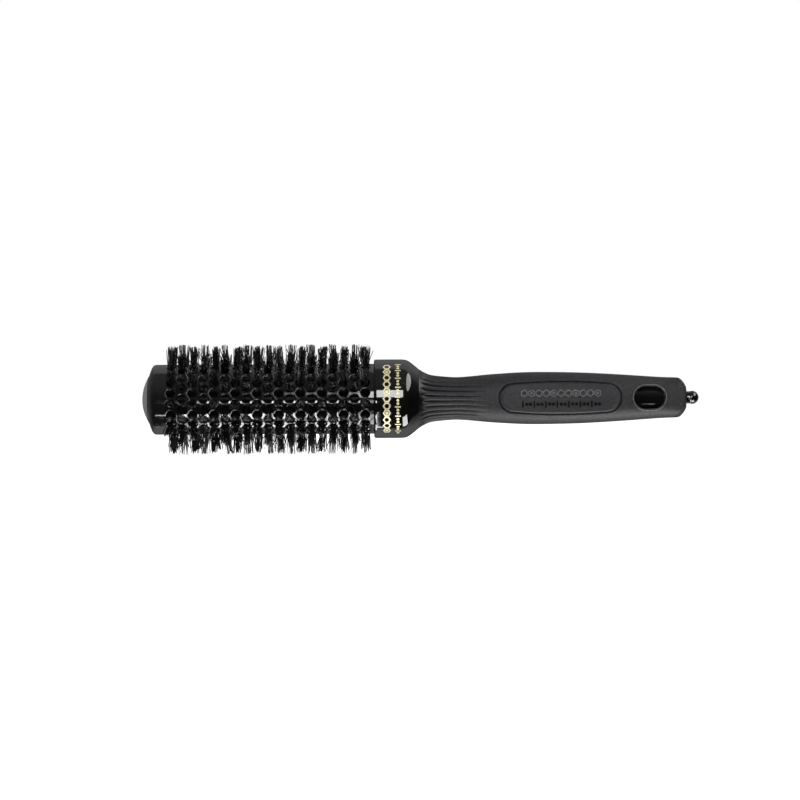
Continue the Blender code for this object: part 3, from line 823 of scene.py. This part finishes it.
def grip_stations():
    stations = [COLLAR_X[1] + 0.06]
    x = GRIP_X[0]
    while x < GRIP_X[1] - 0.25:
        stations.append(x)
        x += station_step(x)
    return stations + [GRIP_X[1] - 0.2, GRIP_X[1] - 0.12, GRIP_X[1] - 0.05, GRIP_X[1]]


def cutter(name, rings=None, profile=None):
    shape = Shape()
    if rings:
        shape.loft(rings)
    else:
        shape.turned(profile, 72)
    return shape.piece(name, bpy.data.materials.new(name), body=None)


def carve(target, tool):
    step = target.modifiers.new("cut", "BOOLEAN")
    step.operation = "DIFFERENCE"
    step.solver = "EXACT"
    step.object = tool
    with bpy.context.temp_override(object=target, active_object=target):
        bpy.ops.object.modifier_apply(modifier=step.name)
    bpy.data.objects.remove(tool)


def make_grip(finish):
    angles = grip_angles()
    shape = Shape()
    shape.loft([[grip_point(x, angle) for angle in angles] for x in grip_stations()])
    grip = shape.piece("fluted_grip", finish, body=None)
    end = CORE_X[1] + GAP
    tail_r = TAIL_BORE[0]
    bore = [(GRIP_X[0] - 5, CORE_R + GAP), (end, CORE_R + GAP), (end, tail_r), (GRIP_X[1] + 5, tail_r)]
    carve(grip, cutter("bore", profile=bore))
    rim = grip_half_depth(sum(WINDOW_X) / 2)
    for side in (-1, 1):
        rings = []
        walls = [(WINDOW_FLOOR, 0), (rim - 1.5, 0), (rim - 0.9, 0.08), (rim - 0.55, 0.25), (rim - 0.3, 0.45)]
        walls += [(rim - 0.12, 0.7), (rim, 1.0), (rim + 3, 4.0)]
        for y, grow in walls:
            rings.append([(x, side * y, z) for x, z in slot_outline(WINDOW_X, WINDOW_HALF, grow)])
        carve(grip, cutter("window", rings=rings))
    grip.data.shade_smooth()
    grip.data.set_sharp_from_angle(angle=math.radians(38))
    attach(grip, BRUSH)
    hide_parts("grip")


def crown_depth(x, z):
    """Distance of the plain grip's surface from the handle's middle plane."""
    power = grip_squareness(x)
    return grip_half_depth(x) * (1 - abs(z / grip_half_height(x)) ** power) ** (1 / power)


def make_window_rim(side, finish):
    """The raised bead round a window, in a paler finish that is a painted highlight."""
    steps = 8
    inset, half_width = 0.85, 0.3
    sink, half_height = 0.03, 0.2
    shape = Shape()
    rings = []
    for step in range(steps):
        turn = 2 * math.pi * step / steps
        grow = inset + half_width * math.cos(turn)
        lift = sink + half_height * math.sin(turn)
        ring = []
        for x, z in slot_outline(WINDOW_X, WINDOW_HALF, grow):
            ring.append((x, side * (crown_depth(x, z) + lift), z))
        rings.append(ring)
    shape.loft(rings, closed=True)
    shape.piece("window_rim_front" if side < 0 else "window_rim_back", finish, slot="soft_grip")


FIELD_DROP = 0.26  # how much lower than its rim a label panel's field is


def panel_surface(x, z):
    """Distance of a label panel's face from the handle's middle plane."""
    return min(crown_depth(x, z), grip_half_depth(CREST_X) - LAND_DEPTH)


def make_panel(side, name, finish):
    """A crowned pad with a raised rim, whose edge rounds down into the groove.

    edge and field hold (growth of the outline, drop below the surface) pairs.
    """
    inner = (PANEL_X[0] + GROOVE, PANEL_X[1] - GROOVE)
    half = PANEL_HALF - GROOVE
    edge = [(0.0, 0.95), (0.0, 0.4), (-0.06, 0.24), (-0.18, 0.1), (-0.38, 0.02), (-0.7, 0.0), (-1.0, 0.03)]
    edge += [(-1.3, 0.12), (-1.6, FIELD_DROP - 0.03), (-1.95, FIELD_DROP)]
    field = [(-grow, FIELD_DROP) for grow in (2.5, 3.2, 4.0, 4.8, 5.6, 6.3, 6.75)]
    shape = Shape()
    rings = []
    for grow, drop in edge + field:
        bow = PANEL_BOW * (half + grow) / half
        outline = slot_outline(inner, half, grow, bow, side_steps=40)
        rings.append([(x, side * (panel_surface(x, z) - drop), z) for x, z in outline])
    shape.loft(rings)
    shape.piece(name + "_pad", finish, stands_for=(name,), slot="panel_rubber")


# ---- Printed and raised marks: plain hexagons and bars, no lettering ----


def hexagon(centre_u, centre_v, radius):
    """(u, v) corners of a hexagon that has a corner at the top."""
    corners = []
    for corner in range(6):
        turn = math.radians(60 * corner + 30)
        corners.append((centre_u + radius * math.cos(turn), centre_v + radius * math.sin(turn)))
    return corners


def bar(centre_u, centre_v, width, length):
    """(u, v) corners of a bar along v with cut corners."""
    half_u, half_v = width / 2, length / 2
    cut = min(half_u, half_v) * 0.5
    corners = []
    for sign_u, sign_v, flip in ((1, -1, False), (1, 1, True), (-1, 1, False), (-1, -1, True)):
        pair = [(half_u - cut, half_v), (half_u, half_v - cut)]
        if flip:
            pair.reverse()
        corners += [(centre_u + sign_u * u, centre_v + sign_v * v) for u, v in pair]
    return corners


class Marks:
    """Raised marks over a surface.

    lay(u, v, height) gives a place on it, and slope is how far a mark's side leans in.
    """

    def __init__(self, lay, line, foot, top, slope):
        self.shape = Shape()
        self.lay = lay
        self.line = line
        self.foot = foot
        self.top = top
        self.slope = slope

    def at(self, corners, height):
        return [self.lay(u, v, height) for u, v in corners]

    def ring(self, u, v, radius):
        inner = radius - self.line * 1.15
        rings = [self.at(hexagon(u, v, radius), self.foot)]
        rings += [self.at(hexagon(u, v, radius - self.slope), self.top)]
        rings += [self.at(hexagon(u, v, inner + self.slope), self.top)]
        rings += [self.at(hexagon(u, v, inner), self.foot)]
        self.shape.loft(rings, closed=True)

    def dot(self, u, v, radius):
        low = self.at(hexagon(u, v, radius), self.foot)
        self.shape.loft([low, self.at(hexagon(u, v, radius - self.slope), self.top)])

    def dash(self, u, v, length):
        low = self.at(bar(u, v, self.line, length), self.foot)
        top = bar(u, v, self.line - self.slope * 1.5, length - self.slope * 2)
        self.shape.loft([low, self.at(top, self.top)])

    def comb_row(self, length, v, height):
        """A honeycomb strip, with a dot in every third cell."""
        radius = height / 2
        step = 2 * radius * math.cos(math.radians(30)) + 0.1
        count = int(length / step)
        for index in range(count):
            u = (index - (count - 1) / 2) * step
            self.ring(u, v, radius)
            if index % 3 == 1:
                self.dot(u, v, radius * 0.42)

    def tick_row(self, length, v, height):
        """A ruler-like strip: a tall dash, then two dots."""
        step = height * 0.56
        count = int(length / step)
        for index in range(count):
            u = (index - (count - 1) / 2) * step
            if index % 3 == 0:
                self.dash(u, v, height)
            else:
                self.dot(u, v, height * 0.27)


def make_collar_print(finish):
    """Gold marks printed round the front of the collar."""

    def lay(u, v, height):
        return polar(v, COLLAR_R + height, math.degrees(u / COLLAR_R))

    marks = Marks(lay, line=0.72, foot=-0.03, top=0.03, slope=0.0)
    length = math.radians(124) * COLLAR_R
    marks.comb_row(length, v=-16.75, height=4.1)
    marks.tick_row(length, v=-11.3, height=2.9)
    marks.shape.piece("collar_print", finish, slot="brass")


def make_panel_marks(side, name, comb_highlight_finish, tick_shade_finish):
    """Raised marks on a label panel: the comb row is coloured paler, a painted highlight, and the tick row
    near black, a painted shade.
    """
    middle = 69.7
    length = 41.5

    def lay(u, v, height):
        return (middle + u, side * (panel_surface(middle + u, v) - FIELD_DROP + height), v)

    upper = Marks(lay, line=0.75, foot=-0.08, top=0.5, slope=0.2)
    upper.comb_row(length, v=2.35, height=4.1)
    upper.shape.piece(name + "_comb", comb_highlight_finish, smooth=20, slot="panel_rubber")
    lower = Marks(lay, line=0.85, foot=-0.08, top=0.5, slope=0.2)
    lower.tick_row(length, v=-3.1, height=3.4)
    lower.shape.piece(name + "_ticks", tick_shade_finish, smooth=20, slot="panel_rubber")


# ---- Stage ----

VIEW_CENTRE = Vector((-10.25, 0.0, -0.65)) * MM
CAMERA_DISTANCE = 4 / 3
AXIS_TILT = 0.27  # the brush's right end is this much higher, in degrees


def make_camera():
    data = bpy.data.cameras.new("camera")
    data.lens = 120
    data.sensor_width = 36
    data.clip_start = 0.05
    camera = bpy.data.objects.new("camera", data)
    bpy.context.collection.objects.link(camera)
    tilt = math.radians(AXIS_TILT)
    facing = Matrix.Rotation(math.pi / 2, 4, "X")
    roll = Matrix.Rotation(tilt, 4, "Y")
    place = Matrix.Translation(VIEW_CENTRE + Vector((0, -CAMERA_DISTANCE, 0)))
    camera.matrix_world = place @ roll @ facing
    bpy.context.scene.camera = camera


def make_world():
    """White for the camera.

    Reflections see a dark room in front and a wall behind, which fades from its rim.
    """
    world = bpy.data.worlds.new("studio")
    bpy.context.scene.world = world
    world.use_nodes = True
    nodes, links = world.node_tree.nodes, world.node_tree.links

    def math_node(operation, first, second):
        node = nodes.new("ShaderNodeMath")
        node.operation = operation
        for socket, value in zip(node.inputs, (first, second)):
            if isinstance(value, float):
                socket.default_value = value
            else:
                links.new(value, socket)
        return node.outputs["Value"]

    def smooth_step(source, start, end):
        node = nodes.new("ShaderNodeMapRange")
        node.interpolation_type = "SMOOTHSTEP"
        node.inputs["From Min"].default_value, node.inputs["From Max"].default_value = start
        node.inputs["To Min"].default_value, node.inputs["To Max"].default_value = end
        links.new(source, node.inputs["Value"])
        return node.outputs["Result"]

    coords = nodes.new("ShaderNodeTexCoord")
    split = nodes.new("ShaderNodeSeparateXYZ")
    links.new(coords.outputs["Generated"], split.inputs["Vector"])
    rim = smooth_step(split.outputs["Y"], (0.08, 0.2), (0.0, 1.15))
    left_end = smooth_step(split.outputs["X"], (-0.7, -0.15), (0.15, 1.0))
    right_end = smooth_step(split.outputs["X"], (0.5, 0.92), (1.0, 0.15))
    nearness = math_node("MAXIMUM", math_node("SUBTRACT", 1.0, split.outputs["Y"]), 0.0)
    fade = math_node("POWER", nearness, 0.85)
    lower_lighter = math_node("SUBTRACT", 1.0, math_node("MULTIPLY", split.outputs["Z"], 0.3))
    ends = math_node("MULTIPLY", left_end, right_end)
    glow = math_node("MULTIPLY", math_node("MULTIPLY", rim, fade), math_node("MULTIPLY", lower_lighter, ends))
    path = nodes.new("ShaderNodeLightPath")
    ceiling = smooth_step(split.outputs["Z"], (0.0, 0.95), (0.03, 0.26))
    room = math_node("ADD", glow, ceiling)
    strength = math_node("MAXIMUM", room, path.outputs["Is Camera Ray"])
    links.new(strength, nodes["Background"].inputs["Strength"])
    nodes["Background"].inputs["Color"].default_value = (1.0, 1.0, 1.0, 1.0)


LIGHT_DISTANCE = 0.8


def softbox(name, aim_x, direction, size, radiance, soft=False, shape="RECTANGLE"):
    """An area light that faces a place on the axis, at aim_x in millimetres.

    direction is (tilt to the right, turn up from the camera's side) in degrees, and size is in metres. A soft
    one lights matt surfaces and isn't mirrored, and any other is only mirrored.
    """
    tilt, turn = (math.radians(value) for value in direction)
    out = Vector((math.sin(tilt), -math.cos(tilt) * math.cos(turn), math.cos(tilt) * math.sin(turn)))
    data = bpy.data.lights.new(name, "AREA")
    data.shape = shape
    data.size, data.size_y = size
    data.energy = radiance * math.pi * size[0] * size[1]
    light = bpy.data.objects.new(name, data)
    bpy.context.collection.objects.link(light)
    light.location = Vector((aim_x * MM, 0.0, 0.0)) + out * LIGHT_DISTANCE
    across = Vector((math.cos(tilt), math.sin(tilt) * math.cos(turn), -math.sin(tilt) * math.sin(turn)))
    light.rotation_euler = Matrix((across, out.cross(across), out)).transposed().to_euler()
    light.visible_camera = False
    light.visible_diffuse = soft
    light.visible_glossy = not soft


def seen_at(near, far):
    """The middle and width of a light whose reflection spans near to far along a straight length."""
    spread = 1 + LIGHT_DISTANCE / CAMERA_DISTANCE
    centre_x = VIEW_CENTRE.x / MM
    middle = centre_x + ((near + far) / 2 - centre_x) * spread
    return middle, (far - near) * spread * MM


def tall(degrees):
    """Height of a light that covers this angle."""
    return 2 * LIGHT_DISTANCE * math.tan(math.radians(degrees) / 2)


# Lights seen in the straight lengths of the brush, one a row: name, ends of its reflection along X,
# turn up from the camera's side, angle it covers, radiance
STRIPS = (
    # on the barrel beside the collar, and on the collar
    ("barrel_patch", -34.0, -23.4, -72, 40, 14.0),
    ("collar_line", -22.0, -21.4, -66, 54, 16.0),
    ("collar_foot", -21.8, -18.0, -91, 5, 12.0),
    # under the barrel, as one long panel that grows taller towards the collar
    ("shoulder_strip", -135.0, -123.0, -52, 4, 13.0),
    ("barrel_panel_left", -118.0, -92.0, -54, 10, 30.0),
    ("barrel_panel_middle", -92.0, -64.0, -57, 20, 24.0),
    ("barrel_panel_right", -64.0, -36.0, -60, 30, 20.0),
    ("barrel_low", -114.0, -36.0, -92, 22, 16.0),
    # in front of the barrel
    ("barrel_middle", -108.0, -28.0, -9, 6, 26.0),
    ("barrel_upper", -70.0, -24.0, 18, 6, 4.0),
    # on the core, seen through the window
    ("core_low", 109.7, 114.6, -60, 10, 16.0),
    ("core_high", 109.7, 114.6, 46, 8, 7.0),
    ("core_front", 107.5, 115.5, 7, 14, 1.2),
)


def make_lights():
    softbox("collar_block", 42.0, (0, 14.6), (0.168, tall(20)), 15.0)
    softbox("funnel_patch", -8.0, (21, -72), (tall(30), tall(34)), 15.0)
    softbox("funnel_oval", -6.0, (46, 65), (tall(30), tall(54)), 5.0, shape="ELLIPSE")
    for name, near, far, turn, angle, radiance in STRIPS:
        middle, width = seen_at(near, far)
        softbox(name, middle, (0, turn), (width, tall(angle)), radiance)
    # Soft light that gloss doesn't show
    softbox("fill_front", -10.0, (-30, 15), (1.2, 0.8), 1.15, soft=True)
    softbox("fill_low", 0.0, (-10, -72), (1.4, 0.7), 0.5, soft=True)
    softbox("fill_high", 0.0, (-20, 70), (1.4, 0.7), 0.65, soft=True)
    softbox("fill_back", 0.0, (0, 180), (1.2, 0.5), 0.8, soft=True)
    softbox("fill_left", -110.0, (-80, 50), (0.5, 0.5), 4.5, soft=True)


def make_floor():
    """A pale floor that the bristles rest on. It doesn't light the brush."""
    low = min(corner[2] for corner in cad_box)
    mesh = bpy.data.meshes.new("floor")
    half = 6.0
    corners = [(-half, -half, low), (half, -half, low), (half, half, low), (-half, half, low)]
    mesh.from_pydata(corners, [], [(0, 1, 2, 3)])
    material = bpy.data.materials.new("floor")
    material.use_nodes = True
    shader = material.node_tree.nodes["Principled BSDF"]
    shader.inputs["Base Color"].default_value = (0.9, 0.9, 0.9, 1.0)
    shader.inputs["Roughness"].default_value = 0.9
    shader.inputs["Specular IOR Level"].default_value = 0.0
    shader.inputs["Emission Color"].default_value = (1.0, 1.0, 1.0, 1.0)
    shader.inputs["Emission Strength"].default_value = 0.86
    mesh.materials.append(material)
    floor = bpy.data.objects.new("floor", mesh)
    bpy.context.collection.objects.link(floor)
    floor.visible_diffuse = False
    floor.visible_glossy = False
    floor.visible_shadow = False


# ---- Put together ----


def repaint(node, finish):
    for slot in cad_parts[node].material_slots:
        slot.material = finish


def main():
    bpy.context.scene.view_settings.view_transform = "Standard"
    make_camera()
    make_world()
    make_lights()
    make_floor()

    steel = metal("steel", (0.6, 0.6, 0.61), 0.24, (0.1, 3.0, 3.0))
    wire_steel = metal("wire_steel", (0.16, 0.16, 0.165), 0.35)
    brass = metal("brass", (0.72, 0.53, 0.24), 0.3)
    frame_plastic = moulded("frame_plastic", (0.012, 0.012, 0.013), 0.5)
    rubber = moulded("ring_rubber", (0.012, 0.012, 0.012), 0.75)
    grip_finish = soft_touch("soft_grip", (0.0225, 0.0225, 0.0265), grain=0.08, seam_shade_and_gloss=SEAM_SHADE_AND_GLOSS_X)
    panel_finish = soft_touch("panel_rubber", (0.022, 0.022, 0.026), 0.5, grain=0.08)
    # painted highlight: the comb marks are coloured paler than the pad they stand on
    comb_highlight_finish = soft_touch("panel_comb_painted_highlight", (0.17, 0.17, 0.175), 0.4, grain=0.02)
    # painted shade: the tick marks are coloured near black, darker than the pad they stand on
    tick_shade_finish = soft_touch("panel_ticks_painted_shade", (0.003, 0.003, 0.0033), 0.5, grain=0.02, level=0.05)
    # painted highlight: the window's bead is coloured much paler than the grip to stand for the light line
    # round it
    rim_highlight_finish = soft_touch("window_rim", (0.16, 0.16, 0.165), 0.36, grain=0.01)
    gloss = gloss_black("gloss_black")

    make_barrel(coated_barrel())
    make_dome_cap(satin_cap())
    make_collar(gloss)
    make_collar_print(gold_print())
    make_bristles(nylon())
    make_wires(wire_steel)
    make_core(gloss_black("gloss_core", 0.05))
    make_grip(grip_finish)
    for side, name in ((-1, "label_panel_front"), (1, "label_panel_back")):
        make_window_rim(side, rim_highlight_finish)
        make_panel(side, name, panel_finish)
        make_panel_marks(side, name, comb_highlight_finish, tick_shade_finish)
    make_pick(gloss_black("gloss_knob", 0.05), steel)

    for node in ("core_spindle", "front_retainer", "rear_retainer", "mouth_bush"):
        repaint(node, frame_plastic)
    for node in ("tie_screw", "tie_washer", "pick_guide_tube"):
        repaint(node, steel)
    for node in ("threaded_insert", "pick_stop_sleeve"):
        repaint(node, brass)
    repaint("friction_ring", rubber)


main()
